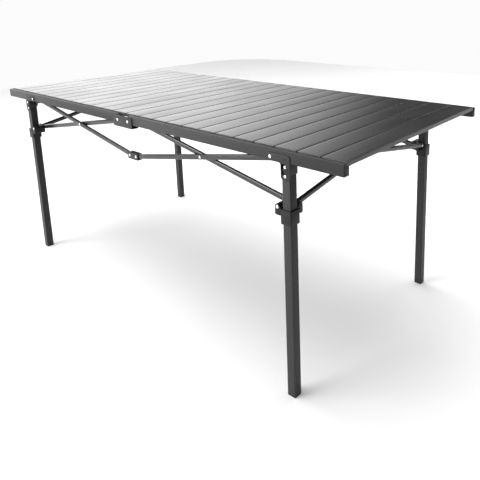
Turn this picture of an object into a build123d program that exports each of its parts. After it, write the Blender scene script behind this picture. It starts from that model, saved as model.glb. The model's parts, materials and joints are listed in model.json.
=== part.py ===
"""Folding picnic table: a roll-up slatted top on a folding scissor frame.

Millimetres, +Z up. The origin is on the floor under the middle of the table top.
X runs along the table and -Y is the front long side. Sizes across the table are given
as distances from its middle, and each corner, side and end mirrors them.
"""

import os
from math import hypot

from build123d import *

os.makedirs("parts", exist_ok=True)

# Overall size
TABLE_LENGTH = 1800.0
TABLE_WIDTH = 760.0
TABLE_HEIGHT = 700.0

# Roll-up top: hollow slats, end caps and the elastic cords inside them
SLAT_COUNT = 24
SLAT_GAP = 3.5
SLAT_THICKNESS = 12.0
SLAT_WALL = 1.0
SLAT_CELLS = 3
SLAT_END_CAP = 2.0
SLAT_SIDE_CLEARANCE = 2.0
CORD_RADIUS = 2.0
CORD_OFFSET = 290.0

# Side rails: a tube under the slats and a lip outside them
RAIL_DEPTH = 31.0
RAIL_THICKNESS = 20.0
RAIL_WALL = 1.6
RAIL_LIP_THICKNESS = 10.0
RAIL_LIP_HEIGHT = 9.0
RAIL_CENTRE_GAP = 46.0
RAIL_END_CUT = 12.0
RAIL_PLUG = 3.5
RAIL_PIVOT_INSET = 50.0
RAIL_PIVOT_RISE = 10.0
RAIL_HINGE_PITCH = 60.0

# Legs
LEG_SIZE = 27.0
LEG_WALL = 1.5
LEG_CENTRE_X = 723.0
LEG_HEAD_GAP = 1.0
FOOT_FLANGE = 3.0
FOOT_PLUG = 18.0
HEAD_PLUG = 6.0

# Scissor bars
UPPER_PIN_Z = 668.0
LOWER_PIN_Z = 546.0
BAR_DEPTH = 17.0
BAR_THICKNESS = 11.0
BAR_WALL = 1.5
BAR_END_WALL = 6.0
BAR_CHAMFER = 2.5
BAR_CLEARANCE = 1.0

# Links that join the bars at mid-side
LINK_HALF_PITCH = 18.5
LINK_HALF_LENGTH = 30.0
LINK_HALF_DEPTH = 12.0

# Pins and rivets
PIN_RADIUS = 3.0
PIN_FIT = 0.08
PIN_HEAD_RADIUS = 5.0
RIVET_RADIUS = 2.5
RIVET_HEAD_RADIUS = 4.2
HEAD_HEIGHT = 1.8

# Pressed steel plates
PLATE = 2.5
PLATE_GAP = 0.4
BRACKET_SLEEVE = 30.0
BRACKET_DROP = 45.0
BRACKET_ARM_HALF = 10.5
BRACKET_WEB = 24.0
BRACKET_RIVET_DROPS = (9.0, 33.0)
HINGE_HALF_LENGTH = 54.0
HINGE_DROP = 10.0
HINGE_TOP_MARGIN = 5.0

# Ears that carry the bar pins
BRACKET_EAR = 5.0
EAR_HALF = 8.5
EAR_ROOT = 22.0

# Sliders on the legs
SLIDER_WALL = 5.0
SLIDER_BORE_GAP = 0.4
SLIDER_HEIGHT = 40.0
SLIDER_TOP_DROP = 4.0
SLIDER_EAR_FRONT_INSET = 4.0

# Places that follow from those sizes
HALF_LENGTH = TABLE_LENGTH / 2
HALF_WIDTH = TABLE_WIDTH / 2
SLAT_PITCH = TABLE_LENGTH / SLAT_COUNT
SLAT_WIDTH = SLAT_PITCH - SLAT_GAP
SLAT_BOTTOM = TABLE_HEIGHT - SLAT_THICKNESS
SLAT_HALF_SPAN = HALF_WIDTH - RAIL_LIP_THICKNESS - SLAT_SIDE_CLEARANCE

RAIL_TOP = SLAT_BOTTOM + RAIL_LIP_HEIGHT
RAIL_BOTTOM = RAIL_TOP - RAIL_DEPTH
RAIL_INNER = HALF_WIDTH - RAIL_THICKNESS
RAIL_PIVOT_X = LEG_CENTRE_X - RAIL_PIVOT_INSET
RAIL_PIVOT_Z = RAIL_BOTTOM + RAIL_PIVOT_RISE
HINGE_PIN_X = RAIL_HINGE_PITCH / 2

LEG_HALF = LEG_SIZE / 2
LEG_CENTRE_Y = HALF_WIDTH - LEG_HALF
LEG_TOP = RAIL_BOTTOM - LEG_HEAD_GAP
LEG_INNER_X = LEG_CENTRE_X - LEG_HALF
LEG_INNER_Y = LEG_CENTRE_Y - LEG_HALF

# This inset gives the side bars and the end bars one length, so that they fold together
PIN_INSET = 2 * LEG_CENTRE_Y - LEG_CENTRE_X + LINK_HALF_PITCH
PIN_X = LEG_CENTRE_X - PIN_INSET
PIN_Y = LEG_CENTRE_Y - PIN_INSET
HALF_BAR = BAR_THICKNESS / 2
LAYER_PITCH = BAR_THICKNESS + BAR_CLEARANCE
UPPER_LAYER_Y = LEG_INNER_Y - BAR_CLEARANCE - HALF_BAR
LOWER_LAYER_Y = UPPER_LAYER_Y - LAYER_PITCH
OUTER_LAYER_X = LEG_CENTRE_X + LAYER_PITCH / 2
INNER_LAYER_X = LEG_CENTRE_X - LAYER_PITCH / 2

PLATE_OUT = HALF_WIDTH + PLATE
OUTER_PLATE = (HALF_WIDTH + PLATE_GAP, PLATE_OUT)
INNER_PLATE = (RAIL_INNER - PLATE_GAP - PLATE, RAIL_INNER - PLATE_GAP)
SLEEVE_BOTTOM = LEG_TOP - BRACKET_SLEEVE
BRACKET_HALF = LEG_HALF + PLATE
SLIDER_HALF = LEG_HALF + SLIDER_BORE_GAP + SLIDER_WALL
SLIDER_TOP = LOWER_PIN_Z - SLIDER_TOP_DROP

SIDES = {"front": -1, "back": 1}
ENDS = {"left": -1, "right": 1}


def facing_y(x, y, z, way):
    """Plane at a point, with its normal along +Y or -Y and its own y axis up."""
    return Plane(origin=(x, y, z), x_dir=(-way, 0, 0), z_dir=(0, way, 0))


def facing_x(x, y, z, way):
    """Plane at a point, with its normal along +X or -X and its own y axis up."""
    return Plane(origin=(x, y, z), x_dir=(0, way, 0), z_dir=(way, 0, 0))


def save(name, *pieces):
    """Write one sub-part, a group of solids that touch but stay separate, as one file."""
    group = Compound([solid for piece in pieces for solid in piece.solids()])
    group.label = name
    export_step(group, f"parts/{name}.step")


def stem(plane, radius, length, mode=Mode.ADD):
    """Round stem or hole in the part being built, from a plane along its normal."""
    with BuildSketch(plane) as section:
        Circle(radius)
    extrude(section.sketch, amount=length, mode=mode)


def block(x_span, y_span, z_span, mode=Mode.ADD):
    """Square block in the part being built, between two corners."""
    spans = (x_span, y_span, z_span)
    with Locations(tuple(sum(span) / 2 for span in spans)):
        Box(*(abs(span[1] - span[0]) for span in spans), mode=mode)


def scaled(span, sign):
    """Mirror a span to the other side of the middle when the sign is negative."""
    return (span[0] * sign, span[1] * sign)


def headed_pin(plane, length, radius=PIN_RADIUS, head_radius=PIN_HEAD_RADIUS):
    """Pin or rivet whose head stands on the plane and whose shank runs back from it."""
    with BuildPart() as pin:
        stem(plane, head_radius, HEAD_HEIGHT)
        stem(plane, radius, -length)
    return pin.part


def square_plug(x, y, z, size, length):
    """Solid square plug inside a tube."""
    with BuildPart() as plug:
        with BuildSketch(Plane(origin=(x, y, z))):
            Rectangle(size, size)
        extrude(amount=length)
    return plug.part


def make_slat(number):
    """Hollow slat with two end caps and the stretches of elastic cord that it holds."""
    x = SLAT_PITCH * number - SLAT_PITCH / 2 - HALF_LENGTH
    z = TABLE_HEIGHT - SLAT_THICKNESS / 2
    body_half = SLAT_HALF_SPAN - SLAT_END_CAP
    cell_width = (SLAT_WIDTH - SLAT_WALL * (SLAT_CELLS + 1)) / SLAT_CELLS
    cell_height = SLAT_THICKNESS - 2 * SLAT_WALL

    with BuildPart() as slat:
        with BuildSketch(facing_y(x, 0, z, -1)):
            Rectangle(SLAT_WIDTH, SLAT_THICKNESS)
            with GridLocations(cell_width + SLAT_WALL, 0, SLAT_CELLS, 1):
                Rectangle(cell_width, cell_height, mode=Mode.SUBTRACT)
        extrude(amount=body_half, both=True)
        for y in (-CORD_OFFSET, CORD_OFFSET):
            with BuildSketch(facing_x(x, y, z, 1)):
                Circle(CORD_RADIUS)
            extrude(amount=SLAT_WIDTH / 2, both=True, mode=Mode.SUBTRACT)

    pieces = [slat.part]
    for side in SIDES.values():
        with BuildPart() as cap:
            with BuildSketch(facing_y(x, side * body_half, z, side)):
                Rectangle(SLAT_WIDTH, SLAT_THICKNESS)
            extrude(amount=SLAT_END_CAP)
        with BuildPart() as cord:
            with BuildSketch(facing_x(x, side * CORD_OFFSET, z, 1)):
                Circle(CORD_RADIUS)
            extrude(amount=SLAT_WIDTH / 2, both=True)
        pieces += [cap.part, cord.part]
    save(f"slat_{number:02d}", *pieces)


def cut_rail_end(side, end):
    """Slope the upper corner of a rail's inner end, so that the halves fold clear."""
    x = end * RAIL_CENTRE_GAP / 2
    corners = [(x, RAIL_TOP), (x + end * RAIL_END_CUT, RAIL_TOP), (x, RAIL_TOP - RAIL_END_CUT)]
    with BuildSketch(Plane(origin=(0, side * RAIL_INNER, 0), x_dir=(1, 0, 0), z_dir=(0, -1, 0))) as wedge:
        with BuildLine():
            Polyline(corners, close=True)
        make_face()
    extrude(wedge.sketch, amount=-side * RAIL_THICKNESS, mode=Mode.SUBTRACT)


def rail_tube(side, end, y_span, z_span, inner_plug, hole_places=()):
    """Square tube along one rail half, drilled across, with a plug that closes each end."""
    inner_end = end * RAIL_CENTRE_GAP / 2
    outer_end = end * HALF_LENGTH
    bore_y = scaled((y_span[0] + RAIL_WALL, y_span[1] - RAIL_WALL), side)
    bore_z = (z_span[0] + RAIL_WALL, z_span[1] - RAIL_WALL)

    with BuildPart() as tube:
        block((inner_end, outer_end), scaled(y_span, side), z_span)
        block((inner_end, outer_end), bore_y, bore_z, mode=Mode.SUBTRACT)
        cut_rail_end(side, end)
        for x in hole_places:
            plane = facing_y(end * x, side * HALF_WIDTH, RAIL_PIVOT_Z, side)
            stem(plane, PIN_RADIUS + PIN_FIT, -RAIL_THICKNESS, mode=Mode.SUBTRACT)
    with BuildPart() as near_plug:
        block((inner_end, inner_end + end * inner_plug), bore_y, bore_z)
        cut_rail_end(side, end)
    with BuildPart() as far_plug:
        block((outer_end - end * RAIL_PLUG, outer_end), bore_y, bore_z)
    return tube.part, near_plug.part, far_plug.part


def make_rail(side_name, end_name):
    """Half of a side rail: a tube that carries the slats and a narrow lip tube outside them."""
    side, end = SIDES[side_name], ENDS[end_name]
    lip_y = (HALF_WIDTH - RAIL_LIP_THICKNESS, HALF_WIDTH)
    pins = (RAIL_PIVOT_X, HINGE_PIN_X)
    tube = rail_tube(side, end, (RAIL_INNER, HALF_WIDTH), (RAIL_BOTTOM, SLAT_BOTTOM), RAIL_PLUG, pins)
    lip = rail_tube(side, end, lip_y, (SLAT_BOTTOM, RAIL_TOP), RAIL_PLUG + RAIL_END_CUT)
    save(f"rail_{side_name}_{end_name}", *tube, *lip)


def make_rail_hinge(side_name):
    """Channel under the rails at mid-side, with the left half's pin and four stud heads."""
    side = SIDES[side_name]
    z_span = (RAIL_BOTTOM - HINGE_DROP - PLATE, RAIL_TOP - HINGE_TOP_MARGIN)
    x_span = (-HINGE_HALF_LENGTH, HINGE_HALF_LENGTH)
    outer_face = side * OUTER_PLATE[1]
    inner_face = side * INNER_PLATE[0]

    with BuildPart() as channel:
        block(x_span, scaled(OUTER_PLATE, side), z_span)
        block(x_span, scaled(INNER_PLATE, side), (z_span[0], SLAT_BOTTOM - HINGE_TOP_MARGIN))
        web_span = (INNER_PLATE[0], OUTER_PLATE[1])
        block(x_span, scaled(web_span, side), (z_span[0], z_span[0] + PLATE))
        left_plane = facing_y(-HINGE_PIN_X, outer_face, RAIL_PIVOT_Z, side)
        stem(left_plane, PIN_RADIUS, -(OUTER_PLATE[1] - INNER_PLATE[0]), mode=Mode.SUBTRACT)
        right_plane = facing_y(HINGE_PIN_X, outer_face, RAIL_PIVOT_Z, side)
        stem(right_plane, PIN_RADIUS, -(OUTER_PLATE[1] - INNER_PLATE[0]), mode=Mode.SUBTRACT)

    pin = headed_pin(left_plane, OUTER_PLATE[1] - INNER_PLATE[0])
    outer_stud = headed_pin(right_plane, OUTER_PLATE[1] - OUTER_PLATE[0])
    inner_stud = headed_pin(facing_y(HINGE_PIN_X, inner_face, RAIL_PIVOT_Z, -side), PLATE)
    save(f"rail_hinge_{side_name}", channel.part, pin, outer_stud, inner_stud)


def make_leg(side_name, end_name):
    """Square leg tube with a foot plug and a head plug."""
    side, end = SIDES[side_name], ENDS[end_name]
    x, y = end * LEG_CENTRE_X, side * LEG_CENTRE_Y
    bore = LEG_SIZE - 2 * LEG_WALL

    with BuildPart() as tube:
        with BuildSketch(Plane(origin=(x, y, FOOT_FLANGE))):
            Rectangle(LEG_SIZE, LEG_SIZE)
            Rectangle(bore, bore, mode=Mode.SUBTRACT)
        extrude(amount=LEG_TOP - FOOT_FLANGE)
        for drop in BRACKET_RIVET_DROPS:
            plane = facing_y(x, side * HALF_WIDTH, LEG_TOP - drop, side)
            stem(plane, RIVET_RADIUS, -LEG_WALL, mode=Mode.SUBTRACT)

    with BuildPart() as foot:
        with BuildSketch(Plane(origin=(x, y, 0))):
            Rectangle(LEG_SIZE, LEG_SIZE)
        extrude(amount=FOOT_FLANGE)
        with BuildSketch(Plane(origin=(x, y, FOOT_FLANGE))):
            Rectangle(bore, bore)
        extrude(amount=FOOT_PLUG)
    head = square_plug(x, y, LEG_TOP - HEAD_PLUG, bore, HEAD_PLUG)
    save(f"leg_{side_name}_{end_name}", tube.part, foot.part, head)


def ear_layer(side_name, holds_upper_bar):
    """Which of the two end layers the bar lies in, as its place and the way to its ear."""
    in_outer_layer = (side_name == "front") == holds_upper_bar
    return (OUTER_LAYER_X, -1) if in_outer_layer else (INNER_LAYER_X, 1)


def make_leg_bracket(side_name, end_name):
    """Pressed bracket: a sleeve and a tongue on the leg, two rail arms and an ear for the end bar."""
    side, end = SIDES[side_name], ENDS[end_name]
    x, y = end * LEG_CENTRE_X, side * LEG_CENTRE_Y
    arm_z = (RAIL_PIVOT_Z - BRACKET_ARM_HALF, RAIL_PIVOT_Z + BRACKET_ARM_HALF)
    arm_x = (RAIL_PIVOT_X, LEG_INNER_X)
    plates_through = OUTER_PLATE[1] - INNER_PLATE[0]
    layer_x, ear_way = ear_layer(side_name, True)
    ear_face = layer_x + ear_way * (HALF_BAR + PLATE_GAP)
    ear_x = (ear_face, ear_face + ear_way * BRACKET_EAR)
    ear_z = (UPPER_PIN_Z - EAR_ROOT, UPPER_PIN_Z + EAR_HALF)

    with BuildPart() as bracket:
        with BuildSketch(Plane(origin=(x, y, SLEEVE_BOTTOM))):
            Rectangle(2 * BRACKET_HALF, 2 * BRACKET_HALF)
            Rectangle(LEG_SIZE, LEG_SIZE, mode=Mode.SUBTRACT)
        extrude(amount=BRACKET_SLEEVE)
        leg_x = (LEG_CENTRE_X - BRACKET_HALF, LEG_CENTRE_X + BRACKET_HALF)
        tongue_z = (LEG_TOP - BRACKET_DROP, SLEEVE_BOTTOM)
        block(scaled(leg_x, end), scaled((HALF_WIDTH, PLATE_OUT), side), tongue_z)
        block(scaled(leg_x, end), scaled(OUTER_PLATE, side), (LEG_TOP - PLATE, arm_z[1]))
        block(scaled(arm_x, end), scaled(OUTER_PLATE, side), arm_z)
        block(scaled(arm_x, end), scaled(INNER_PLATE, side), arm_z)
        web_x = (LEG_INNER_X - BRACKET_WEB, LEG_INNER_X)
        block(scaled(web_x, end), scaled(INNER_PLATE, side), (arm_z[0] - BRACKET_WEB, arm_z[0]))
        for plate in (OUTER_PLATE, INNER_PLATE):
            plane = facing_y(end * RAIL_PIVOT_X, side * plate[1], RAIL_PIVOT_Z, side)
            stem(plane, BRACKET_ARM_HALF, plate[0] - plate[1])
        block(scaled(ear_x, end), scaled((PIN_Y - EAR_HALF, LEG_INNER_Y), side), ear_z)

        pivot_plane = facing_y(end * RAIL_PIVOT_X, side * PLATE_OUT, RAIL_PIVOT_Z, side)
        stem(pivot_plane, PIN_RADIUS, -plates_through, mode=Mode.SUBTRACT)
        bar_plane = facing_y(end * PIN_X, side * (UPPER_LAYER_Y - HALF_BAR), UPPER_PIN_Z, -side)
        bar_pin_length = INNER_PLATE[1] - UPPER_LAYER_Y + HALF_BAR
        stem(bar_plane, PIN_RADIUS, -bar_pin_length, mode=Mode.SUBTRACT)
        end_bar_face = layer_x - ear_way * HALF_BAR
        ear_plane = facing_x(end * end_bar_face, side * PIN_Y, UPPER_PIN_Z, -end * ear_way)
        ear_pin_length = BAR_THICKNESS + PLATE_GAP + BRACKET_EAR
        stem(ear_plane, PIN_RADIUS, -ear_pin_length, mode=Mode.SUBTRACT)
        for drop in BRACKET_RIVET_DROPS:
            plane = facing_y(x, side * PLATE_OUT, LEG_TOP - drop, side)
            stem(plane, RIVET_RADIUS, -PLATE, mode=Mode.SUBTRACT)

    pins = [
        headed_pin(pivot_plane, plates_through),
        headed_pin(bar_plane, bar_pin_length),
        headed_pin(ear_plane, ear_pin_length),
    ]
    for drop in BRACKET_RIVET_DROPS:
        plane = facing_y(x, side * PLATE_OUT, LEG_TOP - drop, side)
        pins.append(headed_pin(plane, PLATE + LEG_WALL, RIVET_RADIUS, RIVET_HEAD_RADIUS))
    save(f"leg_bracket_{side_name}_{end_name}", bracket.part, *pins)


def make_slider(side_name, end_name):
    """Plastic slider on the leg, with an ear for the side bar and one for the end bar."""
    side, end = SIDES[side_name], ENDS[end_name]
    x, y = end * LEG_CENTRE_X, side * LEG_CENTRE_Y
    bore = LEG_SIZE + 2 * SLIDER_BORE_GAP
    ear_z = (LOWER_PIN_Z - EAR_ROOT, LOWER_PIN_Z + EAR_HALF)
    side_ear_x = (PIN_X - EAR_HALF, LEG_CENTRE_X - SLIDER_HALF)
    side_ear_y = (LOWER_LAYER_Y + HALF_BAR + PLATE_GAP, HALF_WIDTH - SLIDER_EAR_FRONT_INSET)
    layer_x, ear_way = ear_layer(side_name, False)
    ear_face = layer_x + ear_way * (HALF_BAR + PLATE_GAP)
    far_face = LEG_CENTRE_X + ear_way * (LAYER_PITCH / 2 + HALF_BAR)
    end_ear_y = (PIN_Y - EAR_HALF, LEG_CENTRE_Y - SLIDER_HALF)

    with BuildPart() as slider:
        with BuildSketch(Plane(origin=(x, y, SLIDER_TOP - SLIDER_HEIGHT))):
            Rectangle(2 * SLIDER_HALF, 2 * SLIDER_HALF)
        extrude(amount=SLIDER_HEIGHT)
        block(scaled(side_ear_x, end), scaled(side_ear_y, side), ear_z)
        block(scaled((ear_face, far_face), end), scaled(end_ear_y, side), ear_z)
        with BuildSketch(Plane(origin=(x, y, SLIDER_TOP - SLIDER_HEIGHT))):
            Rectangle(bore, bore)
        extrude(amount=SLIDER_HEIGHT + EAR_ROOT, mode=Mode.SUBTRACT)

        side_plane = facing_y(end * PIN_X, side * side_ear_y[1], LOWER_PIN_Z, side)
        side_pin_length = side_ear_y[1] - LOWER_LAYER_Y + HALF_BAR
        stem(side_plane, PIN_RADIUS, -side_pin_length, mode=Mode.SUBTRACT)
        bar_face = layer_x - ear_way * HALF_BAR
        end_plane = facing_x(end * bar_face, side * PIN_Y, LOWER_PIN_Z, -end * ear_way)
        end_pin_length = abs(far_face - bar_face)
        stem(end_plane, PIN_RADIUS, -end_pin_length, mode=Mode.SUBTRACT)

    side_pin = headed_pin(side_plane, side_pin_length)
    end_pin = headed_pin(end_plane, end_pin_length)
    save(f"slider_{side_name}_{end_name}", slider.part, side_pin, end_pin)


def make_bar(name, plane, length, *pins):
    """Flat-oval scissor bar along a plane's x axis, closed and drilled at both ends."""
    pin_places = [(-length / 2, 0), (0, 0), (length / 2, 0)]

    with BuildPart() as bar:
        with BuildSketch(plane):
            SlotCenterToCenter(length, BAR_DEPTH)
        extrude(amount=HALF_BAR, both=True)
        flat_faces = bar.faces().filter_by(Axis((0, 0, 0), plane.z_dir))
        chamfer(flat_faces.edges(), BAR_CHAMFER)
        with BuildSketch(plane):
            Rectangle(length - 2 * BAR_END_WALL, BAR_DEPTH - 2 * BAR_WALL)
        extrude(amount=HALF_BAR - BAR_WALL, both=True, mode=Mode.SUBTRACT)
        with BuildSketch(plane):
            with Locations(*pin_places):
                Circle(PIN_RADIUS + PIN_FIT)
        extrude(amount=HALF_BAR, both=True, mode=Mode.SUBTRACT)
    save(name, bar.part, *pins)


def make_side_bars(side_name, end_name):
    """The two crossed bars of one half of a long side."""
    side, end = SIDES[side_name], ENDS[end_name]
    run = PIN_X - LINK_HALF_PITCH
    rise = UPPER_PIN_Z - LOWER_PIN_Z
    length = hypot(run, rise)
    middle_x = end * (PIN_X + LINK_HALF_PITCH) / 2
    middle_z = (UPPER_PIN_Z + LOWER_PIN_Z) / 2

    upper_plane = Plane(
        origin=(middle_x, side * UPPER_LAYER_Y, middle_z), x_dir=(end * run, 0, rise), z_dir=(0, side, 0)
    )
    lower_plane = Plane(
        origin=(middle_x, side * LOWER_LAYER_Y, middle_z), x_dir=(end * run, 0, -rise), z_dir=(0, side, 0)
    )
    pin_plane = facing_y(middle_x, side * (UPPER_LAYER_Y + HALF_BAR), middle_z, side)
    crossing_pin = headed_pin(pin_plane, LAYER_PITCH + BAR_THICKNESS)
    make_bar(f"side_bar_upper_{side_name}_{end_name}", upper_plane, length, crossing_pin)
    make_bar(f"side_bar_lower_{side_name}_{end_name}", lower_plane, length)


def make_end_bars(end_name):
    """The two crossed bars of one short end."""
    end = ENDS[end_name]
    run = 2 * PIN_Y
    rise = UPPER_PIN_Z - LOWER_PIN_Z
    length = hypot(run, rise)
    middle_z = (UPPER_PIN_Z + LOWER_PIN_Z) / 2

    outer_plane = Plane(
        origin=(end * OUTER_LAYER_X, 0, middle_z), x_dir=(0, -run, rise), z_dir=(end, 0, 0)
    )
    inner_plane = Plane(
        origin=(end * INNER_LAYER_X, 0, middle_z), x_dir=(0, run, rise), z_dir=(end, 0, 0)
    )
    pin_plane = facing_x(end * (OUTER_LAYER_X + HALF_BAR), 0, middle_z, end)
    crossing_pin = headed_pin(pin_plane, LAYER_PITCH + BAR_THICKNESS)
    make_bar(f"end_bar_outer_{end_name}", outer_plane, length, crossing_pin)
    make_bar(f"end_bar_inner_{end_name}", inner_plane, length)


def make_link(name, side, layer_y, pin_z, web_way):
    """Channel that joins two bars at mid-side, with its web below or above the pins."""
    outer = (layer_y + HALF_BAR + PLATE_GAP, layer_y + HALF_BAR + PLATE_GAP + PLATE)
    inner = (layer_y - HALF_BAR - PLATE_GAP - PLATE, layer_y - HALF_BAR - PLATE_GAP)
    x_span = (-LINK_HALF_LENGTH, LINK_HALF_LENGTH)
    z_span = (pin_z - LINK_HALF_DEPTH, pin_z + LINK_HALF_DEPTH)
    web_edge = pin_z + web_way * LINK_HALF_DEPTH
    pin_planes = [
        facing_y(x, side * outer[1], pin_z, side) for x in (-LINK_HALF_PITCH, LINK_HALF_PITCH)
    ]

    with BuildPart() as link:
        block(x_span, scaled(outer, side), z_span)
        block(x_span, scaled(inner, side), z_span)
        block(x_span, scaled((inner[0], outer[1]), side), (web_edge, web_edge - web_way * PLATE))
        for plane in pin_planes:
            stem(plane, PIN_RADIUS, inner[0] - outer[1], mode=Mode.SUBTRACT)
    save(name, link.part, *(headed_pin(plane, outer[1] - inner[0]) for plane in pin_planes))


for slat_number in range(1, SLAT_COUNT + 1):
    make_slat(slat_number)

for side_key, side_sign in SIDES.items():
    make_rail_hinge(side_key)
    make_link(f"link_lower_{side_key}", side_sign, UPPER_LAYER_Y, LOWER_PIN_Z, -1)
    make_link(f"link_upper_{side_key}", side_sign, LOWER_LAYER_Y, UPPER_PIN_Z, 1)
    for end_key in ENDS:
        make_rail(side_key, end_key)
        make_leg(side_key, end_key)
        make_leg_bracket(side_key, end_key)
        make_slider(side_key, end_key)
        make_side_bars(side_key, end_key)

for end_key in ENDS:
    make_end_bars(end_key)
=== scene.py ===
import json
from math import copysign, cos, pi, radians, sin, tan

import bmesh
import bpy
from mathutils import Matrix, Vector


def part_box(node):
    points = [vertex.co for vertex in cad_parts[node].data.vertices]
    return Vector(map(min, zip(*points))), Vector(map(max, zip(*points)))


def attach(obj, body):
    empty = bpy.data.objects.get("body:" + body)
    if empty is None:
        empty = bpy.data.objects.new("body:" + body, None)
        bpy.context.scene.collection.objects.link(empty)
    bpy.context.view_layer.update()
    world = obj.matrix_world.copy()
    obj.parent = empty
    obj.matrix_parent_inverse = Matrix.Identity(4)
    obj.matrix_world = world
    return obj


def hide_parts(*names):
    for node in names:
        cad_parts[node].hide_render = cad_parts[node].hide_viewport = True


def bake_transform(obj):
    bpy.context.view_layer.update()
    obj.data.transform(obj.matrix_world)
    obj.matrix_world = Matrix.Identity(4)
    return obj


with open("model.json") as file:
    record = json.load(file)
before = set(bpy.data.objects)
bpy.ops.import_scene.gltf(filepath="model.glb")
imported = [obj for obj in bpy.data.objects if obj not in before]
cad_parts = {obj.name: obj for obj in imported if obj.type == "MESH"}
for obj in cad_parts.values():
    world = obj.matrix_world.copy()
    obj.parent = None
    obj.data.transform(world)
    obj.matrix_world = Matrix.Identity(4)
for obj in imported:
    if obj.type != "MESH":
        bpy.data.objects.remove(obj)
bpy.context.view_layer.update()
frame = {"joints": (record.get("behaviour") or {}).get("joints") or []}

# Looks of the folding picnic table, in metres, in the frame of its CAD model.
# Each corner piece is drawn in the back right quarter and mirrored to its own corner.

MM = 0.001
SIDES = {"front": -1, "back": 1}
ENDS = {"left": -1, "right": 1}
PIVOTS = {joint["name"]: Vector(joint["pos_m"]) for joint in frame["joints"] if joint.get("pos_m")}

# Places read from the frame, as distances from the middle of the table
LEG_LOW, LEG_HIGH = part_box("leg_back_right")
RAIL_LOW, RAIL_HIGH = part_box("rail_back_right")
SLIDER_OUTER_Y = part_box("slider_back_right")[1].y
HINGE_LOW, HINGE_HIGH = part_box("rail_hinge_back")
SLAT_LOW, SLAT_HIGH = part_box("slat_01")
PIN_X = abs(PIVOTS["frame_fold"].x)
UPPER_LAYER_Y = abs(PIVOTS["frame_fold"].y)
UPPER_PIN_Z = PIVOTS["frame_fold"].z
LINK_PIN_X = abs(PIVOTS["front_lower_link"].x)
LOWER_PIN_Z = PIVOTS["front_lower_link"].z
LOWER_LAYER_Y = abs(PIVOTS["front_upper_link"].y)
OUTER_LAYER_X = abs(PIVOTS["left_outer_bar"].x)
INNER_LAYER_X = abs(PIVOTS["back_left_leg"].x)
PIN_Y = abs(PIVOTS["left_outer_bar"].y)
RAIL_PIVOT_X = abs(PIVOTS["rail_front_left_pivot"].x)
RAIL_PIVOT_Z = PIVOTS["rail_front_left_pivot"].z
HINGE_PIN_X = abs(PIVOTS["rail_hinge_front_pivot"].x)
MIDDLE_X = (PIN_X + LINK_PIN_X) / 2
MIDDLE_Z = (UPPER_PIN_Z + LOWER_PIN_Z) / 2
LEG_X = (LEG_LOW.x + LEG_HIGH.x) / 2
LEG_Y = (LEG_LOW.y + LEG_HIGH.y) / 2
LEG_TOP = LEG_HIGH.z

# Sizes of the top
SLAT_CAP = 2.0 * MM
SLAT_CAP_BEVEL = 0.5 * MM
SLAT_CROWN = 0.35 * MM
SLAT_TOP_ROUND = 0.9 * MM
SLAT_BOTTOM_ROUND = 1.0 * MM
SLAT_CELL_PITCH = 23.5 * MM
SLAT_GROOVE = 1.2 * MM
CORD_OFFSET = 290.0 * MM
CORD_SPAN_RADIUS = 1.8 * MM
CORD_STEPS = 6
CORD_SIDES = 12

# Sizes of the rails, their hinges and the plates that clasp them
RAIL_LIP = 10.0 * MM
RAIL_LIP_HEIGHT = 9.0 * MM
RAIL_CUT = 12.0 * MM
RAIL_CAP = 1.5 * MM
RAIL_CAP_INSET = 0.15 * MM
RAIL_BOTTOM_ROUND = 1.6 * MM
RAIL_LIP_ROUND = 1.3 * MM
RAIL_INNER_ROUND = 1.2 * MM
RAIL_LEDGE_ROUND = 0.4 * MM
PLATE = 2.1 * MM
PLATE_GAP = 0.4 * MM
INNER_PLATE = 2.5 * MM
OUTER_PLATE_Y = (RAIL_HIGH.y + PLATE_GAP, RAIL_HIGH.y + PLATE_GAP + PLATE)
INNER_PLATE_Y = (RAIL_LOW.y - PLATE_GAP - INNER_PLATE, RAIL_LOW.y - PLATE_GAP)
HINGE_CORNER = 3.0 * MM
HINGE_INNER_DROP = 5.0 * MM

# Sizes of the leg brackets
SLEEVE_WALL = 2.5 * MM
SLEEVE_DROP = 29.5 * MM
SLEEVE_CORNER = 3.0 * MM
TONGUE_DROP = 44.5 * MM
TONGUE_INSET = 1.0 * MM
TONGUE_ROUND = 11.0 * MM
ARM_HALF = 10.5 * MM
ARM_ROUND = 9.5 * MM
ARM_HEEL_ROUND = 7.0 * MM
INNER_ARM_ROUND = 6.0 * MM
BRACKET_TOP_ROUND = 8.0 * MM
WEB_ROUND = 5.0 * MM
RIB_FROM_PIVOT = 11.0 * MM
RIB_PAST_LEG = 2.0 * MM
RIB_HALF = 2.4 * MM
RIB_ROUND = 2.3 * MM
RIB_SINK = 0.5 * MM
RIB_RISE = 1.1 * MM
RIVET_DROPS = (9.0 * MM, 33.0 * MM)

# Sizes of the bars and links
BAR_HALF_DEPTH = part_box("side_bar_upper_back_right")[1].z - UPPER_PIN_Z
BAR_HALF_THICKNESS = 5.5 * MM
BAR_END_RUN = 25.0 * MM
BAR_SIDES = 24
BAR_DEPTH_POWER = 0.72
BAR_THICKNESS_POWER = 0.8
BAR_TIP_DEGREES = range(3, 94, 15)
LINK_HALF_LENGTH = 30.0 * MM
LINK_HALF_DEPTH = 12.0 * MM
LINK_CORNER = 3.5 * MM
LINK_WEB_SHORTER = 2.0 * MM

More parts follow.
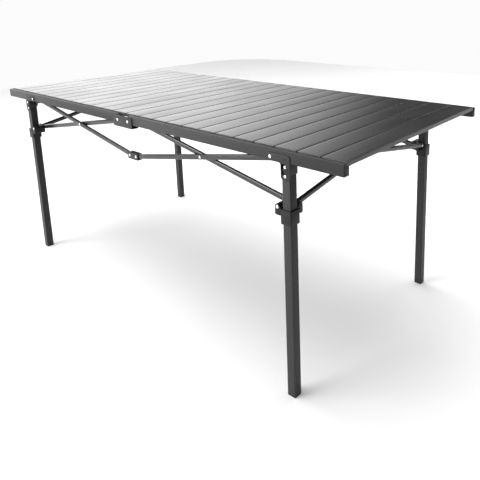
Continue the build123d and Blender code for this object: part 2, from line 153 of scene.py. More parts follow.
# Sizes of the ears, sliders and feet
EAR_HALF = 8.5 * MM
EAR_ROOT = 22.0 * MM
EAR_THICKNESS = 5.0 * MM
EAR_TIP_ROUND = 7.5 * MM
EAR_TOE_ROUND = 4.0 * MM
EAR_SHOULDER = 3.0 * MM
EAR_OVERLAP = 2.0 * MM
SLIDER_SLEEVE_HALF = 18.9 * MM
SLIDER_WAIST = 0.8 * MM
SLIDER_WAIST_ROUND = 3.5 * MM
SLIDER_LIP_ROUND = 4.0 * MM
SLIDER_HEIGHT = 40.0 * MM
SLIDER_TOP_DROP = 4.0 * MM
SLIDER_LIP = 4.0 * MM
SLIDER_OVERLAP = 1.0 * MM
LEG_ROUND = 2.2 * MM
FOOT_ROUND = 2.6 * MM
FOOT_HEIGHT = 4.5 * MM

# Fastenings and the fineness of the meshes
BOLT_RADIUS = 5.0 * MM
RIVET_RADIUS = 4.2 * MM
HEAD_HEIGHT = 1.8 * MM
HEAD_RIM_SHARE = 0.25
HEAD_SIDES = 20
EDGE_BEVEL = 0.4 * MM
SHARP_TO_BEVEL = radians(40)
SHARP_TO_SHADE = radians(32)
MERGE_DISTANCE = 1e-6
ARC_STEPS = 6

# Tones, as linear reflectance
COAT_TONE = 0.022
BRACKET_TONE = 0.018
SLAT_TONE = 0.018
BAR_TONE = 0.009
PLASTIC_TONE = 0.008
# End caps are black plastic; their lighter tone is a painted highlight standing in for the bright strip
# at the slat ends.
CAP_TONE_WITH_PAINTED_HIGHLIGHT = 0.06
STEEL_TONE = 0.62
CORD_TONE = 0.10
FLOOR_TONE = 0.86

# Noise stays near its middle, so only this part of it is spread over a range
NOISE_FROM, NOISE_TO = 0.3, 0.7


# Materials

class Recipe:
    """A node material that starts as a Principled shader, read in the piece's own frame."""

    def __init__(self, name, roughness, metallic=0.0, specular=0.5):
        self.material = bpy.data.materials.new(name)
        self.material.use_nodes = True
        self.nodes = self.material.node_tree.nodes
        self.links = self.material.node_tree.links
        self.shader = self.nodes["Principled BSDF"]
        self.shader.inputs["Roughness"].default_value = roughness
        self.shader.inputs["Metallic"].default_value = metallic
        self.shader.inputs["Specular IOR Level"].default_value = specular
        self.place = self.nodes.new("ShaderNodeTexCoord").outputs["Object"]

    def noise(self, size, detail=2.0, stretch=(1, 1, 1)):
        """Noise with features about one size across, drawn out along an axis by its stretch."""
        mapping = self.nodes.new("ShaderNodeMapping")
        mapping.inputs["Scale"].default_value = [1 / (size * amount) for amount in stretch]
        texture = self.nodes.new("ShaderNodeTexNoise")
        texture.inputs["Scale"].default_value = 1.0
        texture.inputs["Detail"].default_value = detail
        self.links.new(self.place, mapping.inputs["Vector"])
        self.links.new(mapping.outputs["Vector"], texture.inputs["Vector"])
        return texture.outputs["Fac"]

    def spread(self, value, low, high):
        """Bring noise to a range of values."""
        ranged = self.nodes.new("ShaderNodeMapRange")
        ranged.inputs["From Min"].default_value = NOISE_FROM
        ranged.inputs["From Max"].default_value = NOISE_TO
        ranged.inputs["To Min"].default_value = low
        ranged.inputs["To Max"].default_value = high
        self.links.new(value, ranged.inputs["Value"])
        return ranged.outputs["Result"]

    def colours(self, value, dark, light):
        """Colour between two tones by noise."""
        ramp = self.nodes.new("ShaderNodeValToRGB")
        ramp.color_ramp.elements[0].position = NOISE_FROM
        ramp.color_ramp.elements[0].color = (*dark, 1)
        ramp.color_ramp.elements[1].position = NOISE_TO
        ramp.color_ramp.elements[1].color = (*light, 1)
        self.links.new(value, ramp.inputs["Fac"])
        self.links.new(ramp.outputs["Color"], self.shader.inputs["Base Color"])

    def roughness(self, value, low, high):
        """Roughness between two values by noise."""
        self.links.new(self.spread(value, low, high), self.shader.inputs["Roughness"])

    def bumps(self, *layers):
        """Bump layers, each as its noise and its depth."""
        below = None
        for value, depth in layers:
            bump = self.nodes.new("ShaderNodeBump")
            bump.inputs["Distance"].default_value = depth
            self.links.new(value, bump.inputs["Height"])
            if below is not None:
                self.links.new(below, bump.inputs["Normal"])
            below = bump.outputs["Normal"]
        self.links.new(below, self.shader.inputs["Normal"])


def grey(tone, warmth=0.0):
    """Grey of one tone, neutral or a little warm."""
    return (tone * (1 + warmth), tone, tone * (1 - warmth))


def powder_coat(name, tone, grain=1.1 * MM):
    """Textured powder coat: a fine orange peel with grains that catch the light."""
    recipe = Recipe(name, 0.5, specular=0.28)
    fine = recipe.noise(grain, 3)
    mottle = recipe.noise(5 * MM, 4)
    recipe.colours(mottle, grey(tone * 0.6), grey(tone * 1.5))
    recipe.roughness(mottle, 0.42, 0.62)
    recipe.bumps((mottle, 0.18 * MM), (fine, 0.14 * MM))
    return recipe.material


def slat_coat():
    """Satin coat on extruded aluminium, with faint lines along the extrusion."""
    recipe = Recipe("slat_satin_coat", 0.3)
    lines = recipe.noise(1.6 * MM, 3, (1, 300, 1))
    cloud = recipe.noise(60 * MM, 4, (1, 4, 1))
    recipe.colours(cloud, grey(SLAT_TONE * 0.9), grey(SLAT_TONE * 1.12))
    recipe.roughness(cloud, 0.24, 0.32)
    recipe.bumps((lines, 0.010 * MM), (recipe.noise(0.8 * MM), 0.008 * MM))
    return recipe.material


def bar_coat():
    """Gloss black coat on drawn tube, with a soft ripple."""
    recipe = Recipe("bar_gloss_coat", 0.22)
    cloud = recipe.noise(18 * MM, 3)
    recipe.colours(cloud, grey(BAR_TONE * 0.85), grey(BAR_TONE * 1.2))
    recipe.roughness(cloud, 0.18, 0.3)
    recipe.bumps((recipe.noise(2.5 * MM), 0.03 * MM))
    return recipe.material


def moulded_plastic(name, tone, roughness):
    """Moulded plastic with a spark-eroded grain."""
    recipe = Recipe(name, roughness, specular=0.25)
    cloud = recipe.noise(12 * MM, 3)
    recipe.colours(cloud, grey(tone * 0.85), grey(tone * 1.2))
    recipe.roughness(cloud, roughness - 0.07, roughness + 0.07)
    recipe.bumps((recipe.noise(0.6 * MM, 3), 0.05 * MM))
    return recipe.material


def rivet_steel():
    """Bright plated steel with fine handling marks."""
    recipe = Recipe("rivet_steel", 0.26, metallic=1.0)
    marks = recipe.noise(1.5 * MM, 5)
    recipe.colours(marks, grey(STEEL_TONE * 0.86, 0.01), grey(STEEL_TONE * 1.15, 0.01))
    recipe.roughness(marks, 0.2, 0.36)
    recipe.bumps((marks, 0.03 * MM))
    return recipe.material


def elastic_cord():
    """Braided elastic cord."""
    recipe = Recipe("elastic_cord", 0.8, specular=0.2)
    braid = recipe.noise(0.9 * MM, 2)
    recipe.colours(braid, grey(CORD_TONE * 0.5), grey(CORD_TONE * 1.5))
    recipe.bumps((braid, 0.3 * MM))
    return recipe.material


COAT = powder_coat("frame_powder_coat", COAT_TONE)
BRACKET = powder_coat("bracket_powder_coat", BRACKET_TONE, 0.9 * MM)
SLAT = slat_coat()
BAR = bar_coat()
PLASTIC = moulded_plastic("slider_plastic", PLASTIC_TONE, 0.45)
# The end caps' lighter tone is a painted highlight on black plastic.
CAP = moulded_plastic("end_cap_plastic_with_painted_highlight", CAP_TONE_WITH_PAINTED_HIGHLIGHT, 0.4)
STEEL = rivet_steel()
CORD = elastic_cord()


# Shapes

def rounded(corners, steps=ARC_STEPS):
    """Outline whose corners, each given as its place and radius, are rounded by arcs."""
    points = []
    for index, (x, y, radius) in enumerate(corners):
        here = Vector((x, y))
        if radius <= 0:
            points.append(here)
            continue
        back = (Vector(corners[index - 1][:2]) - here).normalized()
        ahead = (Vector(corners[(index + 1) % len(corners)][:2]) - here).normalized()
        half = back.angle(ahead) / 2
        centre = here + (back + ahead).normalized() * (radius / sin(half))
        start = here + back * (radius / tan(half)) - centre
        turn = start.angle_signed(here + ahead * (radius / tan(half)) - centre)
        for step in range(steps + 1):
            angle = -turn * step / steps
            points.append(centre + Matrix.Rotation(angle, 2) @ start)
    return points


def rectangle(x_span, y_span, radius):
    """Rounded rectangle between two spans."""
    (x0, x1), (y0, y1) = x_span, y_span
    return [(x0, y0, radius), (x1, y0, radius), (x1, y1, radius), (x0, y1, radius)]


def face_xz(point, depth):
    """Outline that faces along y."""
    return Vector((point.x, depth, point.y))


def face_yz(point, depth):
    """Outline that faces along x."""
    return Vector((depth, point.x, point.y))


def face_xy(point, depth):
    """Outline that faces upwards."""
    return Vector((point.x, point.y, depth))


class Shape:
    """Mesh being drawn, in parts that stay separate shells."""

    def __init__(self):
        self.mesh = bmesh.new()

    def loft(self, rings):
        """Closed shell through rings of points."""
        made = [[self.mesh.verts.new(point) for point in ring] for ring in rings]
        for low, high in zip(made, made[1:]):
            for index in range(len(low)):
                after = (index + 1) % len(low)
                self.mesh.faces.new((low[index], low[after], high[after], high[index]))
        self.mesh.faces.new(made[0])
        self.mesh.faces.new(made[-1])
        return [vertex for ring in made for vertex in ring]

    def prism(self, outline, facing, depths, bevel=EDGE_BEVEL, cutter=None):
        """Outline drawn out between two depths, cut by a plane, its sharp edges rounded."""
        verts = self.loft([[facing(point, depth) for point in outline] for depth in depths])
        if cutter is not None:
            verts = self.cut(verts, *cutter)
        self.round_edges(verts, bevel)

    def cut(self, verts, point, normal):
        """Remove what lies ahead of a plane from one shell, and close it."""
        bmesh.ops.recalc_face_normals(self.mesh, faces=faces_of(verts))
        geometry = list(verts) + edges_of(verts) + faces_of(verts)
        made = bmesh.ops.bisect_plane(
            self.mesh, geom=geometry, plane_co=point, plane_no=normal, clear_outer=True
        )
        rim = [item for item in made["geom_cut"] if isinstance(item, bmesh.types.BMEdge)]
        bmesh.ops.edgenet_fill(self.mesh, edges=rim)
        kept = {
            item for item in made["geom"] if isinstance(item, bmesh.types.BMVert) and item.is_valid
        }
        kept |= {vertex for edge in rim for vertex in edge.verts}
        return list(kept)

    def round_edges(self, verts, bevel):
        """Round the edges of one shell that turn sharply."""
        if bevel <= 0:
            return
        bmesh.ops.recalc_face_normals(self.mesh, faces=faces_of(verts))
        sharp = [
            edge for edge in edges_of(verts)
            if edge.is_manifold and abs(edge.calc_face_angle(0)) > SHARP_TO_BEVEL
        ]
        bmesh.ops.bevel(
            self.mesh, geom=sharp, offset=bevel, segments=2, profile=0.5, affect="EDGES",
            clamp_overlap=True,
        )

    def turned(self, base, axis, profile, steps=HEAD_SIDES):
        """Solid of revolution from a base point, its profile as radii and heights."""
        axis = axis.normalized()
        across = axis.orthogonal().normalized()
        other = axis.cross(across)
        rings = []
        for radius, height in profile:
            ring = []
            for step in range(steps):
                angle = 2 * pi * step / steps
                spoke = across * cos(angle) + other * sin(angle)
                ring.append(base + axis * height + spoke * radius)
            rings.append(ring)
        self.loft(rings)

    def head(self, base, axis, radius=BOLT_RADIUS, height=HEAD_HEIGHT):
        """Domed rivet head with a low rim."""
        rim = height * HEAD_RIM_SHARE
        dome = [
            (radius * cos(angle), rim + (height - rim) * sin(angle))
            for angle in (radians(degrees) for degrees in range(0, 81, 20))
        ]
        self.turned(base, axis, [(radius, 0), *dome])

    def piece(self, name, material, body, node=None, flip=(1, 1)):
        """Finish the mesh, mirror it to its corner and let it ride on a body."""
        bmesh.ops.scale(self.mesh, vec=(flip[0], flip[1], 1), verts=self.mesh.verts)
        bmesh.ops.remove_doubles(self.mesh, verts=self.mesh.verts, dist=MERGE_DISTANCE)
        bmesh.ops.recalc_face_normals(self.mesh, faces=self.mesh.faces)
        mesh = bpy.data.meshes.new(name)
        self.mesh.to_mesh(mesh)
        self.mesh.free()
        mesh.shade_smooth()
        mesh.set_sharp_from_angle(angle=SHARP_TO_SHADE)
        mesh.materials.append(material)
        made = bpy.data.objects.new(name, mesh)
        bpy.context.scene.collection.objects.link(made)
        if body is not None:
            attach(made, body)
        if node is not None:
            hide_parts(node)
        return made


def faces_of(verts):
    """Faces that meet at any of these vertices."""
    return list({face for vertex in verts for face in vertex.link_faces})


def edges_of(verts):
    """Edges that meet at any of these vertices."""
    return list({edge for vertex in verts for edge in vertex.link_edges})


# Roll-up top

def make_slat(number):
    """Extruded slat with a crowned top and two shallow grooves below, and its end caps."""
    name = f"slat_{number:02d}"
    low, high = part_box(name)
    centre = (low.x + high.x) / 2
    half = (high.x - low.x) / 2
    grooves = []
    for offset in (-SLAT_CELL_PITCH / 2, SLAT_CELL_PITCH / 2):
        x = centre + offset
        grooves += [
            (x - SLAT_GROOVE, low.z, 0), (x, low.z + SLAT_GROOVE, 0), (x + SLAT_GROOVE, low.z, 0),
        ]
    crown = [
        (centre + half * share, high.z - SLAT_CROWN * share**2, 0)
        for share in (0.7, 0.35, 0, -0.35, -0.7)
    ]
    outline = rounded([
        (low.x, low.z, SLAT_BOTTOM_ROUND), *grooves, (high.x, low.z, SLAT_BOTTOM_ROUND),
        (high.x, high.z - SLAT_CROWN, SLAT_TOP_ROUND), *crown,
        (low.x, high.z - SLAT_CROWN, SLAT_TOP_ROUND),
    ])
    slat = Shape()
    slat.prism(outline, face_xz, (low.y + SLAT_CAP, high.y - SLAT_CAP), 0)
    slat.piece(f"{name}_body", SLAT, name, name)

    caps = Shape()
    cap_spans = ((low.x, high.x), (low.z, high.z - SLAT_CROWN))
    cap_outline = rounded(rectangle(*cap_spans, SLAT_TOP_ROUND))
    for inner, outer in ((low.y + SLAT_CAP, low.y), (high.y - SLAT_CAP, high.y)):
        caps.prism(cap_outline, face_xz, (inner, outer), SLAT_CAP_BEVEL)
    caps.piece(f"{name}_caps", CAP, name)


def make_cord_span(number, side_name):
    """Elastic cord across the gap between two slats, drawn straight and tied to no body."""
    before, after = f"slat_{number:02d}", f"slat_{number + 1:02d}"
    start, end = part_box(before)[1].x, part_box(after)[0].x
    z = (SLAT_LOW.z + SLAT_HIGH.z) / 2
    base = Vector((start, SIDES[side_name] * CORD_OFFSET, z))
    profile = [
        (CORD_SPAN_RADIUS, (end - start) * step / CORD_STEPS) for step in range(CORD_STEPS + 1)
    ]
    span = Shape()
    span.turned(base, Vector((1, 0, 0)), profile, CORD_SIDES)
    cord = span.piece(f"cord_{number:02d}_{side_name}", CORD, None)
    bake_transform(cord)


# Rails and their hinges

def make_rail(side_name, end_name):
    """Half rail with a lip and a sloped inner end, and the plug in its outer end."""
    node = f"rail_{side_name}_{end_name}"
    flip = (ENDS[end_name], SIDES[side_name])
    lip = RAIL_HIGH.y - RAIL_LIP
    ledge = RAIL_HIGH.z - RAIL_LIP_HEIGHT
    slope = ((RAIL_LOW.x, 0, RAIL_HIGH.z - RAIL_CUT), (-1, 0, 1))

    def outline(inset):
        """Section of the rail, drawn in by an inset."""
        return rounded([
            (RAIL_LOW.y + inset, RAIL_LOW.z + inset, RAIL_BOTTOM_ROUND),
            (RAIL_HIGH.y - inset, RAIL_LOW.z + inset, RAIL_BOTTOM_ROUND),
            (RAIL_HIGH.y - inset, RAIL_HIGH.z - inset, RAIL_LIP_ROUND),
            (lip + inset, RAIL_HIGH.z - inset, RAIL_LIP_ROUND),
            (lip + inset, ledge - inset, RAIL_LEDGE_ROUND),
            (RAIL_LOW.y + inset, ledge - inset, RAIL_INNER_ROUND),
        ], 4)

    rail = Shape()
    rail.prism(outline(0), face_yz, (RAIL_LOW.x, RAIL_HIGH.x - RAIL_CAP), 0.25 * MM, slope)
    rail.piece(f"{node}_tube", COAT, node, node, flip)
    cap = Shape()
    cap.prism(outline(RAIL_CAP_INSET), face_yz, (RAIL_HIGH.x - RAIL_CAP, RAIL_HIGH.x), 0.5 * MM)
    cap.piece(f"{node}_plug", PLASTIC, node, None, flip)


def make_rail_hinge(side_name):
    """Channel under the rails at mid-side, with its four bright rivets."""
    node = f"rail_hinge_{side_name}"
    flip = (1, SIDES[side_name])
    outer, inner = OUTER_PLATE_Y, INNER_PLATE_Y
    inner_top = RAIL_HIGH.z - RAIL_LIP_HEIGHT - HINGE_INNER_DROP
    x_span = (HINGE_LOW.x, HINGE_HIGH.x)

    channel = Shape()
    face = rounded(rectangle(x_span, (HINGE_LOW.z, HINGE_HIGH.z), HINGE_CORNER))
    channel.prism(face, face_xz, outer)
    face = rounded(rectangle(x_span, (HINGE_LOW.z, inner_top), HINGE_CORNER))
    channel.prism(face, face_xz, inner)
    web = rounded(rectangle(x_span, (inner[0] + 1 * MM, outer[1] - 1 * MM), 1 * MM))
    channel.prism(web, face_xy, (HINGE_LOW.z, HINGE_LOW.z + INNER_PLATE), 0.6 * MM)
    channel.piece(f"{node}_channel", BRACKET, node, node, flip)

    rivets = Shape()
    for x in (-HINGE_PIN_X, HINGE_PIN_X):
        rivets.head(Vector((x, outer[1], RAIL_PIVOT_Z)), Vector((0, 1, 0)))
        rivets.head(Vector((x, inner[0], RAIL_PIVOT_Z)), Vector((0, -1, 0)))
    rivets.piece(f"{node}_rivets", STEEL, node, None, flip)


# Legs, brackets and sliders

def make_leg(side_name, end_name):
    """Square tube with rounded corners and a moulded foot."""
    node = f"leg_{side_name}_{end_name}"
    flip = (ENDS[end_name], SIDES[side_name])
    spans = ((LEG_LOW.x, LEG_HIGH.x), (LEG_LOW.y, LEG_HIGH.y))
    tube = Shape()
    tube.prism(rounded(rectangle(*spans, LEG_ROUND)), face_xy, (FOOT_HEIGHT, LEG_TOP), 0.3 * MM)
    tube.piece(f"{node}_tube", COAT, node, node, flip)
    foot = Shape()
    foot.prism(rounded(rectangle(*spans, FOOT_ROUND)), face_xy, (0, FOOT_HEIGHT), 1.0 * MM)
    foot.piece(f"{node}_foot", PLASTIC, node, None, flip)


def ear_layer(side_name, holds_upper_bar):
    """Layer of the end bar that a corner holds, and the way from the bar to its ear."""
    in_outer_layer = (side_name == "front") == holds_upper_bar
    return (OUTER_LAYER_X, -1) if in_outer_layer else (INNER_LAYER_X, 1)


def bracket_outline():
    """L plate: an arm along the rail and a tongue down the leg, with a rounded end to each."""
    left = RAIL_PIVOT_X - ARM_HALF
    right = LEG_HIGH.x + SLEEVE_WALL
    inboard = LEG_LOW.x - SLEEVE_WALL + TONGUE_INSET
    top, arm_bottom = RAIL_PIVOT_Z + ARM_HALF, RAIL_PIVOT_Z - ARM_HALF
    bottom = LEG_TOP - TONGUE_DROP
    return rounded([
        (left, top, ARM_ROUND), (left, arm_bottom, ARM_ROUND), (inboard, arm_bottom, ARM_HEEL_ROUND),
        (inboard, bottom, TONGUE_ROUND), (right, bottom, TONGUE_ROUND), (right, top, BRACKET_TOP_ROUND),
    ], 8)


def make_leg_bracket(side_name, end_name):
    """Pressed bracket with an embossed rib on its arm, its ear and its bright rivets."""
    node = f"leg_bracket_{side_name}_{end_name}"
    body = f"leg_{side_name}_{end_name}"
    flip = (ENDS[end_name], SIDES[side_name])
    outer, inner = OUTER_PLATE_Y, INNER_PLATE_Y
    layer_x, ear_way = ear_layer(side_name, True)
    ear_face = layer_x + ear_way * (BAR_HALF_THICKNESS + PLATE_GAP)
    x_span = (LEG_LOW.x - SLEEVE_WALL, LEG_HIGH.x + SLEEVE_WALL)
    y_span = (LEG_LOW.y - SLEEVE_WALL, LEG_HIGH.y + SLEEVE_WALL)

    pressing = Shape()
    pressing.prism(bracket_outline(), face_xz, outer, 0.5 * MM)
    sleeve = rounded(rectangle(x_span, y_span, SLEEVE_CORNER))
    pressing.prism(sleeve, face_xy, (LEG_TOP - SLEEVE_DROP, LEG_TOP), 0.8 * MM)
    arm = rounded(rectangle(
        (RAIL_PIVOT_X - ARM_HALF, LEG_LOW.x),
        (RAIL_PIVOT_Z - ARM_HALF, RAIL_PIVOT_Z + ARM_HALF), INNER_ARM_ROUND,
    ))
    pressing.prism(arm, face_xz, inner, 0.5 * MM)
    web = rounded(rectangle(
        (LEG_LOW.x - EAR_ROOT, LEG_LOW.x), (LEG_TOP - EAR_ROOT, RAIL_PIVOT_Z), WEB_ROUND,
    ))
    pressing.prism(web, face_xz, inner, 0.5 * MM)
    rib = rounded(rectangle(
        (RAIL_PIVOT_X + RIB_FROM_PIVOT, LEG_X + RIB_PAST_LEG),
        (RAIL_PIVOT_Z - RIB_HALF, RAIL_PIVOT_Z + RIB_HALF), RIB_ROUND,
    ))
    pressing.prism(rib, face_xz, (outer[1] - RIB_SINK, outer[1] + RIB_RISE), 0.8 * MM)
    ear = rounded([
        (PIN_Y - EAR_HALF, UPPER_PIN_Z - EAR_ROOT, 2 * MM),
        (LEG_LOW.y, UPPER_PIN_Z - EAR_ROOT, 1 * MM),
        (LEG_LOW.y, UPPER_PIN_Z + EAR_HALF, 1 * MM),
        (PIN_Y - EAR_HALF, UPPER_PIN_Z + EAR_HALF, 7 * MM),
    ])
    pressing.prism(ear, face_yz, sorted((ear_face, ear_face + ear_way * EAR_THICKNESS)), 0.5 * MM)
    pressing.piece(f"{node}_pressing", BRACKET, body, node, flip)

    rivets = Shape()
    rivets.head(Vector((RAIL_PIVOT_X, outer[1], RAIL_PIVOT_Z)), Vector((0, 1, 0)))
    rivets.head(Vector((PIN_X, UPPER_LAYER_Y - BAR_HALF_THICKNESS, UPPER_PIN_Z)), Vector((0, -1, 0)))
    ear_head = Vector((layer_x - ear_way * BAR_HALF_THICKNESS, PIN_Y, UPPER_PIN_Z))
    rivets.head(ear_head, Vector((-ear_way, 0, 0)))
    for drop in RIVET_DROPS:
        rivets.head(Vector((LEG_X, outer[1], LEG_TOP - drop)), Vector((0, 1, 0)), RIVET_RADIUS)
    rivets.piece(f"{node}_rivets", STEEL, body, None, flip)


def slider_ear(pin, leg_middle, top):
    """Outline of an ear that runs from beyond its pin into the slider's sleeve."""
    root = leg_middle - SLIDER_SLEEVE_HALF + EAR_OVERLAP
    low, high = LOWER_PIN_Z - EAR_ROOT, LOWER_PIN_Z + EAR_HALF
    return rounded([
        (pin - EAR_HALF, low, EAR_TOE_ROUND), (root, low, 1 * MM), (root, top, 1 * MM),
        (pin + EAR_SHOULDER, high, EAR_SHOULDER), (pin - EAR_HALF, high, EAR_TIP_ROUND),
    ])


def make_slider(side_name, end_name):
    """Plastic slider: a lipped sleeve drawn without its bore, two ears and bright bolts."""
    node = f"slider_{side_name}_{end_name}"
    flip = (ENDS[end_name], SIDES[side_name])
    top = LOWER_PIN_Z - SLIDER_TOP_DROP
    layer_x, ear_way = ear_layer(side_name, False)
    ear_face = layer_x + ear_way * (BAR_HALF_THICKNESS + PLATE_GAP)
    far_face = LEG_X + ear_way * ((OUTER_LAYER_X - INNER_LAYER_X) / 2 + BAR_HALF_THICKNESS)
    side_ear_y = (LOWER_LAYER_Y + BAR_HALF_THICKNESS + PLATE_GAP, SLIDER_OUTER_Y - HEAD_HEIGHT)

    def sleeve(half, z_span, bevel, radius):
        """Block round the leg, for one part of the sleeve's height."""
        spans = ((LEG_X - half, LEG_X + half), (LEG_Y - half, LEG_Y + half))
        slider.prism(rounded(rectangle(*spans, radius)), face_xy, z_span, bevel)

    slider = Shape()
    waist_z = (top - SLIDER_HEIGHT, top - SLIDER_LIP + SLIDER_OVERLAP)
    sleeve(SLIDER_SLEEVE_HALF - SLIDER_WAIST, waist_z, 2.2 * MM, SLIDER_WAIST_ROUND)
    sleeve(SLIDER_SLEEVE_HALF, (top - SLIDER_LIP, top), 0.9 * MM, SLIDER_LIP_ROUND)
    slider.prism(slider_ear(PIN_X, LEG_X, top), face_xz, side_ear_y, 0.8 * MM)
    slider.prism(slider_ear(PIN_Y, LEG_Y, top), face_yz, sorted((ear_face, far_face)), 0.8 * MM)
    slider.piece(f"{node}_moulding", PLASTIC, node, node, flip)

    bolts = Shape()
    bolts.head(Vector((PIN_X, side_ear_y[1], LOWER_PIN_Z)), Vector((0, 1, 0)))
    bar_face = layer_x - ear_way * BAR_HALF_THICKNESS
    bolts.head(Vector((bar_face, PIN_Y, LOWER_PIN_Z)), Vector((-ear_way, 0, 0)))
    bolts.piece(f"{node}_bolts", STEEL, node, None, flip)


# Scissor bars and links

def make_bar(node, start, end, across, rivets=()):
    """Flat-oval tube between two pins, closed round at both ends, with its rivet heads."""
    along = (end - start).normalized()
    deep = along.cross(across)
    length = (end - start).length
    stations = []
    for degrees in BAR_TIP_DEGREES:
        angle = radians(degrees)
        stations.append((-BAR_HALF_DEPTH * cos(angle), sin(angle)))
    mirrored = [(length - place, share) for place, share in reversed(stations)]
    straight = [(BAR_END_RUN, 1.0), (length - BAR_END_RUN, 1.0)]
    bar = Shape()
    rings = []
    for place, share in stations + straight + mirrored:
        ring = []
        for step in range(BAR_SIDES):
            angle = 2 * pi * (step + 0.5) / BAR_SIDES
            wide = copysign(abs(cos(angle))**BAR_DEPTH_POWER, cos(angle))
            thick = copysign(abs(sin(angle))**BAR_THICKNESS_POWER, sin(angle))
            offset = deep * (wide * BAR_HALF_DEPTH * share) + across * (thick * BAR_HALF_THICKNESS)
            ring.append(start + along * place + offset)
        rings.append(ring)
    bar.loft(rings)
    bar.piece(f"{node}_tube", BAR, node, node)
    if rivets:
        heads = Shape()
        for base, axis in rivets:
            heads.head(base, axis)
        heads.piece(f"{node}_rivet", STEEL, node)


def make_side_bars(side_name, end_name):
    """The two crossed bars of one half of a long side, with the rivet that joins them."""
    side, end = SIDES[side_name], ENDS[end_name]
    across = Vector((0, side, 0))
    high = Vector((end * PIN_X, side * UPPER_LAYER_Y, UPPER_PIN_Z))
    low = Vector((end * LINK_PIN_X, side * UPPER_LAYER_Y, LOWER_PIN_Z))
    middle = Vector((end * MIDDLE_X, side * UPPER_LAYER_Y, MIDDLE_Z))
    inner_face = middle - across * (UPPER_LAYER_Y - LOWER_LAYER_Y + BAR_HALF_THICKNESS)
    outer_face = middle + across * BAR_HALF_THICKNESS
    make_bar(f"side_bar_upper_{side_name}_{end_name}", high, low, across, [(outer_face, across)])
    high = Vector((end * LINK_PIN_X, side * LOWER_LAYER_Y, UPPER_PIN_Z))
    low = Vector((end * PIN_X, side * LOWER_LAYER_Y, LOWER_PIN_Z))
    make_bar(f"side_bar_lower_{side_name}_{end_name}", high, low, across, [(inner_face, -across)])


def make_end_bars(end_name):
    """The two crossed bars of one short end, with the rivet that joins them."""
    end = ENDS[end_name]
    across = Vector((end, 0, 0))
    outer_x, inner_x = end * OUTER_LAYER_X, end * INNER_LAYER_X
    outer_face = Vector((outer_x, 0, MIDDLE_Z)) + across * BAR_HALF_THICKNESS
    make_bar(
        f"end_bar_outer_{end_name}", Vector((outer_x, -PIN_Y, UPPER_PIN_Z)),
        Vector((outer_x, PIN_Y, LOWER_PIN_Z)), across, [(outer_face, across)],
    )
    inner_face = Vector((inner_x, 0, MIDDLE_Z)) - across * BAR_HALF_THICKNESS
    make_bar(
        f"end_bar_inner_{end_name}", Vector((inner_x, PIN_Y, UPPER_PIN_Z)),
        Vector((inner_x, -PIN_Y, LOWER_PIN_Z)), across, [(inner_face, -across)],
    )


def make_link(node, side_name, layer_y, pin_z, web_way):
    """Channel that joins two bars at mid-side, with bright rivets on its outer face."""
    flip = (1, SIDES[side_name])
    near = BAR_HALF_THICKNESS + PLATE_GAP
    outer = (layer_y + near, layer_y + near + INNER_PLATE)
    inner = (layer_y - near - INNER_PLATE, layer_y - near)
    x_span = (-LINK_HALF_LENGTH, LINK_HALF_LENGTH)
    z_span = (pin_z - LINK_HALF_DEPTH, pin_z + LINK_HALF_DEPTH)
    face = rounded(rectangle(x_span, z_span, LINK_CORNER))
    link = Shape()
    link.prism(face, face_xz, outer, 0.5 * MM)
    link.prism(face, face_xz, inner, 0.5 * MM)
    edge = pin_z + web_way * LINK_HALF_DEPTH
    web = rounded(rectangle(
        (-LINK_HALF_LENGTH + LINK_WEB_SHORTER, LINK_HALF_LENGTH - LINK_WEB_SHORTER),
        (inner[0] + 0.8 * MM, outer[1] - 0.8 * MM), 1 * MM,
    ))
    link.prism(web, face_xy, sorted((edge, edge - web_way * INNER_PLATE)), 0.6 * MM)
    link.piece(f"{node}_channel", BRACKET, node, node, flip)
    rivets = Shape()
    for x in (-LINK_PIN_X, LINK_PIN_X):
        rivets.head(Vector((x, outer[1], pin_z)), Vector((0, 1, 0)))
    rivets.piece(f"{node}_rivets", STEEL, node, None, flip)


# Camera, floor and light, with angles in radians and the lens and sensor in millimetres

CAMERA_SHIFT = (-0.12, -0.28)
CAMERA_PLACE = Vector((1.5451, -1.3027, 1.0680))
CAMERA_YAW = 0.7010
CAMERA_PITCH = 0.2045
CAMERA_ROLL = -0.0204
CAMERA_LENS = 39.12
CAMERA_SENSOR = 36
FLOOR_HALF = 5.5
FLOOR_THICKNESS = 0.02
DOME_RADIUS = 30.0
DOME_DEGREES = range(-20, 90, 10)
DOME_SIDES = 48
DOME_TONE = 0.97
WORLD_LEAST = 0.07


def make_camera():
    """Camera fitted to the photograph's view of the table."""
    data = bpy.data.cameras.new("camera")
    data.sensor_width = CAMERA_SENSOR
    data.lens = CAMERA_LENS
    data.shift_x, data.shift_y = CAMERA_SHIFT
    camera = bpy.data.objects.new("camera", data)
    level = cos(CAMERA_PITCH)
    ahead = Vector((-sin(CAMERA_YAW) * level, cos(CAMERA_YAW) * level, -sin(CAMERA_PITCH)))
    right = Vector((cos(CAMERA_YAW), sin(CAMERA_YAW), 0))
    up = right.cross(ahead)
    rolled_right = cos(CAMERA_ROLL) * right + sin(CAMERA_ROLL) * up
    rolled_up = -sin(CAMERA_ROLL) * right + cos(CAMERA_ROLL) * up
    turn = Matrix((rolled_right, rolled_up, -ahead)).transposed()
    camera.matrix_world = Matrix.Translation(CAMERA_PLACE) @ turn.to_4x4()
    bpy.context.scene.collection.objects.link(camera)
    bpy.context.scene.camera = camera


def make_floor():
    """Pale floor with a faint unevenness, 11 m across."""
    floor = Shape()
    span = (-FLOOR_HALF, FLOOR_HALF)
    floor.prism(rounded(rectangle(span, span, 1.0)), face_xy, (-FLOOR_THICKNESS, 0.0), 0)
    recipe = Recipe("floor_paint", 0.7, specular=0.2)
    cloud = recipe.noise(0.6, 3)
    recipe.colours(cloud, grey(FLOOR_TONE * 0.985), grey(FLOOR_TONE * 1.015))
    floor.piece("floor", recipe.material, None)


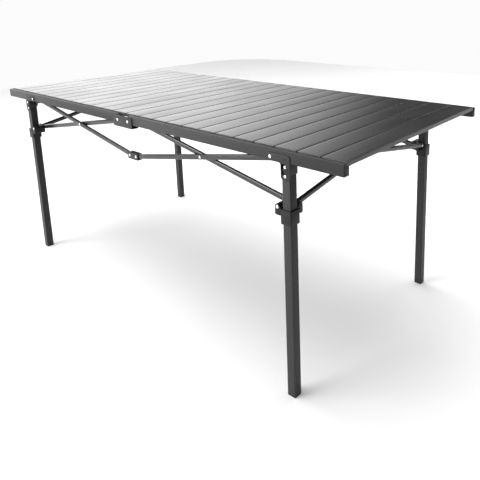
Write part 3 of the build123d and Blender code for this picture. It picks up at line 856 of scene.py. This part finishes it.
def make_backdrop():
    """Plain pale dome round the floor, which only the camera sees, so that it lights nothing."""
    dome = Shape()
    profile = [
        (DOME_RADIUS * cos(angle), DOME_RADIUS * sin(angle))
        for angle in (radians(degrees) for degrees in DOME_DEGREES)
    ]
    dome.turned(Vector((0, 0, 0)), Vector((0, 0, 1)), profile, DOME_SIDES)
    material = bpy.data.materials.new("backdrop_light")
    material.use_nodes = True
    nodes = material.node_tree.nodes
    glow = nodes.new("ShaderNodeEmission")
    glow.inputs["Color"].default_value = (*grey(DOME_TONE), 1)
    surface = nodes["Material Output"].inputs["Surface"]
    material.node_tree.links.new(glow.outputs["Emission"], surface)
    backdrop = dome.piece("backdrop", material, None)
    backdrop.visible_diffuse = False
    backdrop.visible_glossy = False
    backdrop.visible_shadow = False
    backdrop.visible_transmission = False


def make_light(name, place, target, size, watts):
    """Soft square lamp."""
    data = bpy.data.lights.new(name, "AREA")
    data.shape = "RECTANGLE"
    data.size, data.size_y = size
    data.energy = watts
    lamp = bpy.data.objects.new(name, data)
    lamp.location = place
    lamp.rotation_euler = (Vector(target) - Vector(place)).to_track_quat("-Z", "Y").to_euler()
    bpy.context.scene.collection.objects.link(lamp)


def make_world():
    """Studio surroundings: bright behind the left end, fair in front, dark at the right."""
    world = bpy.data.worlds.new("studio")
    bpy.context.scene.world = world
    world.use_nodes = True
    nodes, links = world.node_tree.nodes, world.node_tree.links
    way = nodes.new("ShaderNodeTexCoord").outputs["Generated"]
    nodes["Background"].inputs["Color"].default_value = (1, 1, 1, 1)

    def lobe(direction, start, full, strength):
        """Light round a direction, from where its cosine starts it to where it is full."""
        dot = nodes.new("ShaderNodeVectorMath")
        dot.operation = "DOT_PRODUCT"
        dot.inputs[1].default_value = Vector(direction).normalized()
        links.new(way, dot.inputs[0])
        ranged = nodes.new("ShaderNodeMapRange")
        ranged.interpolation_type = "SMOOTHSTEP"
        ranged.inputs["From Min"].default_value = start
        ranged.inputs["From Max"].default_value = full
        ranged.inputs["To Min"].default_value = 0.0
        ranged.inputs["To Max"].default_value = strength
        links.new(dot.outputs["Value"], ranged.inputs["Value"])
        return ranged.outputs["Result"]

    total = None
    lobes = [
        lobe((-0.97, 0.25, 0.1), 0.68, 0.97, 2.6),
        lobe((-0.3, -1.0, 0.3), 0.1, 0.9, 0.8),
        lobe((0, 0, 1), 0.3, 1.0, 0.35),
    ]
    for value in lobes:
        adder = nodes.new("ShaderNodeMath")
        adder.operation = "ADD"
        adder.inputs[1].default_value = WORLD_LEAST
        if total is not None:
            links.new(total, adder.inputs[1])
        links.new(value, adder.inputs[0])
        total = adder.outputs["Value"]
    links.new(total, nodes["Background"].inputs["Strength"])


make_camera()
make_floor()
make_backdrop()
make_world()
make_light("key", (-2.2, -4.0, 1.9), (0, 0, 0.5), (3.0, 2.0), 190)
make_light("overhead", (-0.6, 0.3, 4.2), (0, 0, 0), (5.0, 4.0), 200)
make_light("far_floor", (2.0, 6.5, 3.2), (1.5, 5.2, 0), (5.0, 3.0), 170)
bpy.context.scene.view_settings.view_transform = "Standard"

for slat_number in range(1, 25):
    make_slat(slat_number)
for slat_number in range(1, 24):
    for side_key in SIDES:
        make_cord_span(slat_number, side_key)
for side_key in SIDES:
    make_rail_hinge(side_key)
    make_link(f"link_lower_{side_key}", side_key, UPPER_LAYER_Y, LOWER_PIN_Z, -1)
    make_link(f"link_upper_{side_key}", side_key, LOWER_LAYER_Y, UPPER_PIN_Z, 1)
    for end_key in ENDS:
        make_rail(side_key, end_key)
        make_leg(side_key, end_key)
        make_leg_bracket(side_key, end_key)
        make_slider(side_key, end_key)
        make_side_bars(side_key, end_key)
for end_key in ENDS:
    make_end_bars(end_key)
